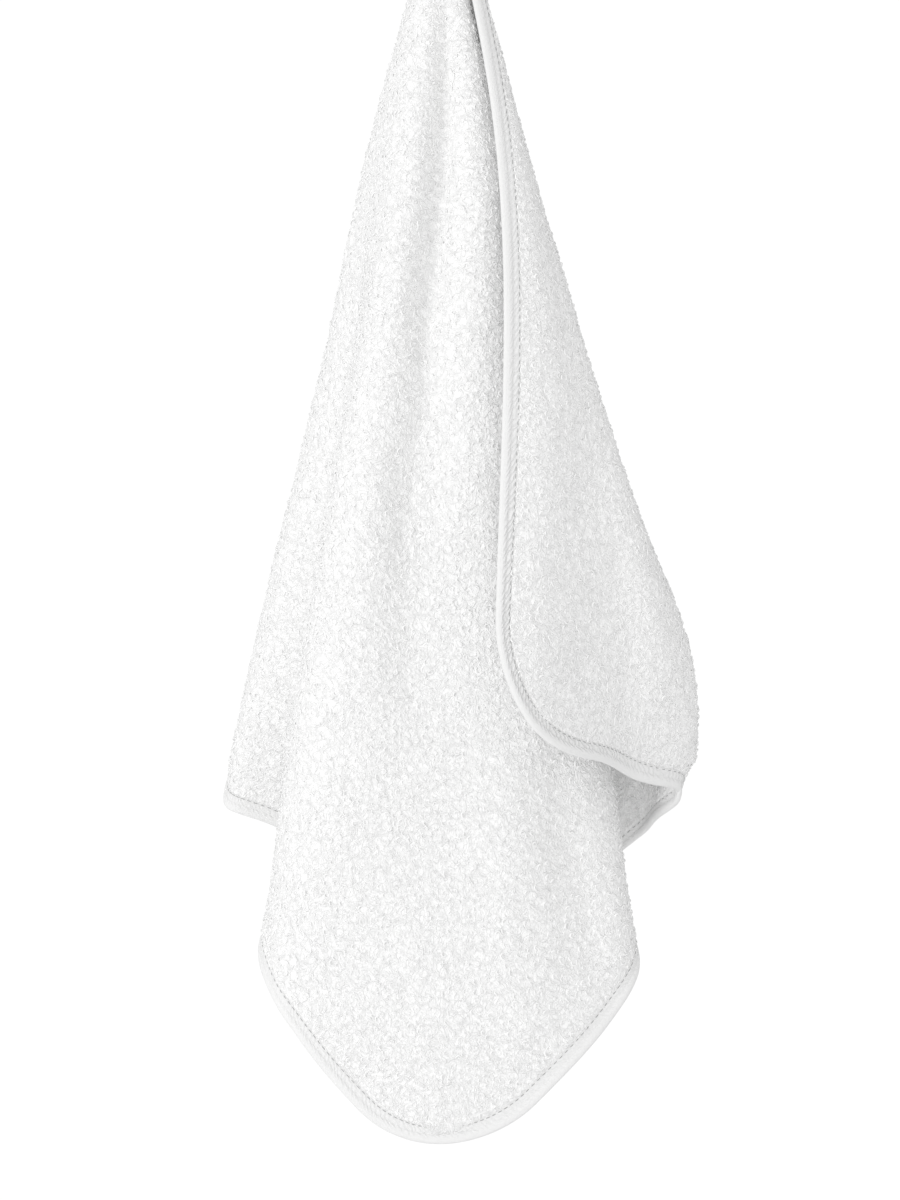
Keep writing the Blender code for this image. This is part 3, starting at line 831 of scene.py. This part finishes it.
@dataclass
class Binding:
    """The woven tape, folded over the whole edge, drawn in at the stitches and puckered along its bias."""

    BULGE = 0.95  # the roll's reach past the edge, as a share of its half thickness
    LINING_BACK, LINING_LEAST = 0.0002, 0.0008  # gap to the tape's border, least height scaled from
    PUCKER_SLANT = 1.1
    PUCKER_DRIFT = (0.35, 0.009, 31)  # their unevenness: share of the pitch, patch and seed
    PUCKER_DEPTH, PUCKER_SPREAD = 0.0045, 0.0026  # where they are deepest, and their spread
    PUCKER_TAUT = 0.25  # share of the puckers where the tape is taut
    PULL, PULL_SPREAD = 0.00022, 0.0012  # how deep a stitch draws the tape in, and its spread
    WAVER = (0.00025, 0.011, 21)  # unevenness of the border: width, patch and seed
    UV_STEP = 0.0011  # across the tape, for each point of the section
    RIBS_FROM, RIBS_OVER = 0.0013, 0.0015  # where the ribs and their painted shade begin, past the roll that stays painted light, and over how much they grow
    RIBS_TAUT, RIBS_SLACK = 0.45, 0.55  # strength of the ribs and their painted shade anywhere, and what slack adds
    AWAY_STEP = 0.001

    cut: Cut
    drape: Drape
    stitches: int = 460
    width: float = 0.0080
    seam: float = 0.0070
    groove: float = 0.0038
    half: float = 0.00175
    half_seam: float = 0.00085
    tape_t: float = 0.0004
    turn_back: float = 0.0002
    roll_steps: int = 6
    lining_step: int = 3
    pucker: float = 0.00026
    pucker_pitch: float = 0.0032
    slack_at: tuple[float, float] = (0.37, 1.40)
    slack_spread: float = 0.13

    def section(self) -> list[tuple[float, float]]:
        """The tape's section from its border on the face to its border on the reverse.

        Returns:
            For each point its distance from the edge and its height over the cloth's middle surface.
        """
        top = [
            (self.width, self.half_seam + 0.00002),  # the border, and its small swell
            (self.width - 0.0003, self.half_seam + 0.00022),
            (self.seam, self.half_seam),  # the seam, and the flat stretch up to the groove
            (self.seam - 0.0008, self.half_seam + 0.00026),
            (0.0052, self.half_seam + 0.00030),
            (self.groove, self.half_seam - 0.00002),  # the groove, and the rise to the roll
            (self.groove - 0.0005, self.half * 0.76),
            (0.0024, self.half * 0.97),
            (0.0013, self.half),
        ]
        roll = [
            (self.turn_back - self.half * self.BULGE * math.sin(angle), self.half * math.cos(angle))
            for angle in np.linspace(0.0, math.pi, self.roll_steps + 1).tolist()
        ]
        return top + roll + [(d, -h) for d, h in reversed(top)]

    def puckers(self, run: np.ndarray, depth: float) -> np.ndarray:
        """Slanting ripples of the tape between the roll and the seam, deepest where it is slack."""
        share, patch, seed = self.PUCKER_DRIFT
        phase = (run + depth * self.PUCKER_SLANT) / self.pucker_pitch
        phase = phase + share * rough_patches(np.stack([run, np.full(len(run), depth)], axis=1), patch, seed)
        fade = math.exp(-(((depth - self.PUCKER_DEPTH) / self.PUCKER_SPREAD) ** 2))
        return self.pucker * fade * (self.PUCKER_TAUT + self.slack(run)) * np.sin(2 * math.pi * phase)

    def slack(self, run: np.ndarray) -> np.ndarray:
        """How slack the tape is along the edge, from 0 to about 1."""
        return sum(np.exp(-(((run - place) / self.slack_spread) ** 2)) for place in self.slack_at)

    def build(self) -> Object:
        """Build the tape as one closed strip.

        Returns:
            The tape.
        """
        stations = 4 * self.stitches
        edge, out, length = self.cut.stations(stations)
        _, normal = self.drape.surface(edge)
        away = self.away(edge, out)
        inner = (self.half - self.tape_t) / self.half
        outer_line = self.section()
        lining = [
            (
                min(max(d, self.turn_back - self.half * self.BULGE * inner), self.width - self.LINING_BACK),
                h * (1 - self.tape_t / max(abs(h), self.LINING_LEAST)),
            )
            for d, h in reversed(outer_line[:: self.lining_step])
        ]
        run = np.arange(stations) * length / stations
        pull = self.PULL * (0.5 - 0.5 * np.cos(math.pi * (np.arange(stations) + 0.5) / 2 + math.pi))
        width, patch, seed = self.WAVER
        waver = width * rough_patches(np.stack([run, np.zeros(stations)], axis=1), patch, seed)
        # The mark's strength: the ribs with shade painted on the flat band, stronger where the tape is slack
        ribs = self.RIBS_TAUT + self.RIBS_SLACK * self.slack(run)
        rings, uv, ribbed = [], [], []
        for step, (depth, height) in enumerate(outer_line + lining):
            at_seam = math.exp(-(((depth - self.seam) / self.PULL_SPREAD) ** 2))
            inset = max(depth, 0.0)
            place, lean = self.drape.surface(edge - out * (inset + waver * depth / self.width)[:, None])
            lift = np.full(stations, height)
            if abs(height) > TINY:
                lift += math.copysign(1.0, height) * (self.puckers(run, depth) - pull * at_seam)
            rings.append(place + away * (inset - depth) + (lean if depth > 0 else normal) * lift[:, None])
            uv.append(np.stack([run, np.full(stations, step * self.UV_STEP)], axis=1))
            ribbed.append(np.clip((depth - self.RIBS_FROM) / self.RIBS_OVER, 0.0, 1.0) * ribs)
        points = np.stack(rings, axis=1)
        index = np.arange(points.shape[0] * points.shape[1]).reshape(points.shape[:2])
        along, around = np.roll(index, -1, axis=0), np.roll(index, -1, axis=1)
        both = np.roll(along, -1, axis=1)
        faces = np.stack([index, along, both, around], axis=2).reshape(-1, 4)
        tape = plain_mesh("binding_tape", points.reshape(-1, 3), [tuple(f) for f in faces.tolist()])
        face_outwards(tape)
        lay_uv(tape, np.stack(uv, axis=1).reshape(-1, 2))
        mark = tape.data.attributes.new(TAPE.mark, "FLOAT", "POINT")
        mark.data.foreach_set("value", np.stack(ribbed, axis=1).astype(np.float32).ravel())
        tape.data.materials.append(TAPE.material())
        adopt(tape)
        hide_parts("edge_binding")
        return tape

    def away(self, edge: np.ndarray, out: np.ndarray) -> np.ndarray:
        """Unit directions off the hanging edge, along the cloth."""
        off = self.drape.place(edge) - self.drape.place(edge - out * self.AWAY_STEP)
        return off / np.linalg.norm(off, axis=1, keepdims=True)


@dataclass
class Stitching:
    """A row of stitches on each side of the tape, set by Geometry Nodes along the seam."""

    BENDS, SIDES = 4, 5
    # Places on a stitch: along it as a share of its length, and up as a share of the thread
    PATH = {"Start": (-0.5, -0.9), "Middle": (0.0, 1.3), "End": (0.5, -0.9)}

    cut: Cut
    drape: Drape
    binding: Binding
    thread: float = 0.00045
    stitch: float = 0.0030

    def tree(self) -> NodeTree:
        """Build the node tree that sets a stitch at each point of a seam.

        Returns:
            The tree, with named inputs for the thread, the stitch's length and the finish.
        """
        tree = bpy.data.node_groups.new("seam_stitches", "GeometryNodeTree")
        face = tree.interface
        face.new_socket("Seam", in_out="INPUT", socket_type="NodeSocketGeometry")
        for name, value in (("Thread", self.thread), ("Stitch", self.stitch)):
            face.new_socket(name, in_out="INPUT", socket_type="NodeSocketFloat").default_value = value
        face.new_socket("Finish", in_out="INPUT", socket_type="NodeSocketMaterial")
        face.new_socket("Stitches", in_out="OUTPUT", socket_type="NodeSocketGeometry")
        nodes, links = tree.nodes, tree.links
        source, sink = nodes.new("NodeGroupInput"), nodes.new("NodeGroupOutput")
        points = nodes.new("GeometryNodeMeshToPoints")
        links.new(source.outputs["Seam"], points.inputs["Mesh"])
        arc = nodes.new("GeometryNodeCurveQuadraticBezier")
        arc.inputs["Resolution"].default_value = self.BENDS
        for name, (ahead, up) in self.PATH.items():
            spot = nodes.new("ShaderNodeCombineXYZ")
            for axis, size, share in (("X", "Stitch", ahead), ("Z", "Thread", up)):
                scale = math_node(nodes, "MULTIPLY", share)
                links.new(source.outputs[size], scale.inputs[0])
                links.new(scale.outputs[0], spot.inputs[axis])
            links.new(spot.outputs[0], arc.inputs[name])
        tube = tube_along(tree, arc.outputs["Curve"], source.outputs["Thread"], self.SIDES)
        turn = None
        for axis, name in (("Z", "out"), ("X", "along")):
            aim = nodes.new("FunctionNodeAlignRotationToVector")
            aim.axis, aim.pivot_axis = axis, "AUTO" if turn is None else "Z"
            way = nodes.new("GeometryNodeInputNamedAttribute")
            way.data_type = "FLOAT_VECTOR"
            way.inputs["Name"].default_value = name
            links.new(way.outputs["Attribute"], aim.inputs["Vector"])
            if turn is not None:
                links.new(turn, aim.inputs["Rotation"])
            turn = aim.outputs["Rotation"]
        row = nodes.new("GeometryNodeInstanceOnPoints")
        links.new(points.outputs["Points"], row.inputs["Points"])
        links.new(tube, row.inputs["Instance"])
        links.new(turn, row.inputs["Rotation"])
        sewn = dressed(tree, row.outputs["Instances"], source.outputs["Finish"])
        links.new(sewn, sink.inputs["Stitches"])
        return tree

    def build(self) -> Object:
        """Sew both rows.

        Returns:
            The stitches as one piece.
        """
        edge, out, _ = self.cut.stations(2 * self.binding.stitches)
        seam = (edge - out * self.binding.seam)[1::2]
        ahead = (edge - out * self.binding.seam)[::2]
        place, normal = self.drape.surface(seam)
        along = self.drape.place(np.roll(ahead, -1, axis=0)) - self.drape.place(ahead)
        along /= np.linalg.norm(along, axis=1, keepdims=True)
        over = self.binding.half_seam
        points = np.concatenate([place + normal * over, place - normal * over])
        stitches = plain_mesh("tape_stitches", points, [])
        for name, values in (("out", np.concatenate([normal, -normal])), ("along", np.tile(along, (2, 1)))):
            layer = stitches.data.attributes.new(name, "FLOAT_VECTOR", "POINT")
            layer.data.foreach_set("vector", values.astype(np.float32).ravel())
        tree = self.tree()
        sew = stitches.modifiers.new("Stitches", "NODES")
        sew.node_group = tree
        # The thread's dark colour is painted shadow of the stitch holes
        sew[input_sockets(tree)["Finish"]] = PAINTED_SHADOW_THREAD.material()
        baked(stitches)
        adopt(stitches)
        return stitches


class Lamp(NamedTuple):
    """A square soft light: where it stands, its side in metres and its power in watts."""

    place: tuple[float, float, float]
    size: float
    power: float


LAMPS = {
    "key_light": Lamp((-1.8, -1.6, 0.1), 0.9, 19.5),
    "front_light": Lamp((-0.4, -3.0, -0.6), 1.6, 25.0),
}
WHITE = (1.0, 1.0, 1.0, 1.0)


@dataclass
class Studio:
    """The pale floor, the soft light and the camera."""

    camera_at: tuple[float, float, float] = (0.0014, -2.0014, -0.3869)
    frame_px: float = 1200.0
    focal_px: float = 3636.0
    sensor_mm: float = 36.0
    gamma: float = 1.5
    surround_light: float = 0.685
    surround_seen: float = 1.05
    lit_middle: tuple[float, float, float] = (0.0, 0.0, -0.36)
    floor_at: tuple[float, float, float] = (0.0, 0.2, -0.98)
    floor_r: float = 1.1
    floor_sides: int = 96
    floor_shade: float = 0.9
    floor_roughness: float = 0.9

    def build(self) -> None:
        """Set the camera, the lights, the surroundings and the floor."""
        scene = bpy.context.scene
        scene.view_settings.view_transform = "Standard"
        scene.view_settings.gamma = self.gamma
        eye = bpy.data.cameras.new("camera")
        eye.sensor_width = self.sensor_mm
        eye.lens = self.focal_px / self.frame_px * self.sensor_mm
        camera = bpy.data.objects.new("camera", eye)
        camera.location = self.camera_at
        camera.rotation_euler = (math.pi / 2, 0.0, 0.0)
        scene.collection.objects.link(camera)
        scene.camera = camera
        self.surround(scene)
        for name, lamp in LAMPS.items():
            self.light(name, lamp)
        self.floor()

    def surround(self, scene: Scene) -> None:
        """A plain white surround that the camera sees as pure white."""
        world = bpy.data.worlds.new("white_surround")
        world.use_nodes = True
        nodes, links = world.node_tree.nodes, world.node_tree.links
        light, seen = nodes["Background"], nodes.new("ShaderNodeBackground")
        for shader, strength in ((light, self.surround_light), (seen, self.surround_seen)):
            shader.inputs["Color"].default_value = WHITE
            shader.inputs["Strength"].default_value = strength
        path, mix = nodes.new("ShaderNodeLightPath"), nodes.new("ShaderNodeMixShader")
        wire(
            links,
            (path, "Is Camera Ray", mix, "Fac"),
            (light, "Background", mix, 1),
            (seen, "Background", mix, 2),
        )
        links.new(mix.outputs["Shader"], nodes["World Output"].inputs["Surface"])
        scene.world = world

    def light(self, name: str, lamp: Lamp) -> None:
        """Set a lamp that looks at the middle of the towel."""
        light = bpy.data.lights.new(name, "AREA")
        light.size, light.energy = lamp.size, lamp.power
        thing = bpy.data.objects.new(name, light)
        aim = np.array(self.lit_middle) - np.array(lamp.place)
        level = math.hypot(aim[0], aim[1])
        thing.location = lamp.place
        thing.rotation_euler = (math.atan2(level, -aim[2]), 0.0, math.atan2(aim[1], aim[0]) - math.pi / 2)
        bpy.context.scene.collection.objects.link(thing)

    def floor(self) -> None:
        """A pale round floor below the towel."""
        mesh = bpy.data.meshes.new("floor")
        work = bmesh.new()
        bmesh.ops.create_circle(work, cap_ends=True, segments=self.floor_sides, radius=self.floor_r)
        bmesh.ops.translate(work, verts=work.verts, vec=self.floor_at)
        work.to_mesh(mesh)
        work.free()
        floor = bpy.data.objects.new("floor", mesh)
        material = bpy.data.materials.new("pale_floor")
        material.use_nodes = True
        shader = material.node_tree.nodes["Principled BSDF"]
        shader.inputs["Base Color"].default_value = (*[self.floor_shade] * 3, 1.0)
        shader.inputs["Roughness"].default_value = self.floor_roughness
        mesh.materials.append(material)
        bpy.context.scene.collection.objects.link(floor)


def main() -> None:
    """Build the studio and the towel."""
    Studio().build()
    cut = Cut()
    drape = Drape(cut)
    sheet, grounds = TerryCloth(cut, drape).build()
    piles = Loops().build(grounds)
    binding = Binding(cut, drape)
    tape = binding.build()
    stitches = Stitching(cut, drape, binding).build()


if __name__ == "__main__":
    main()
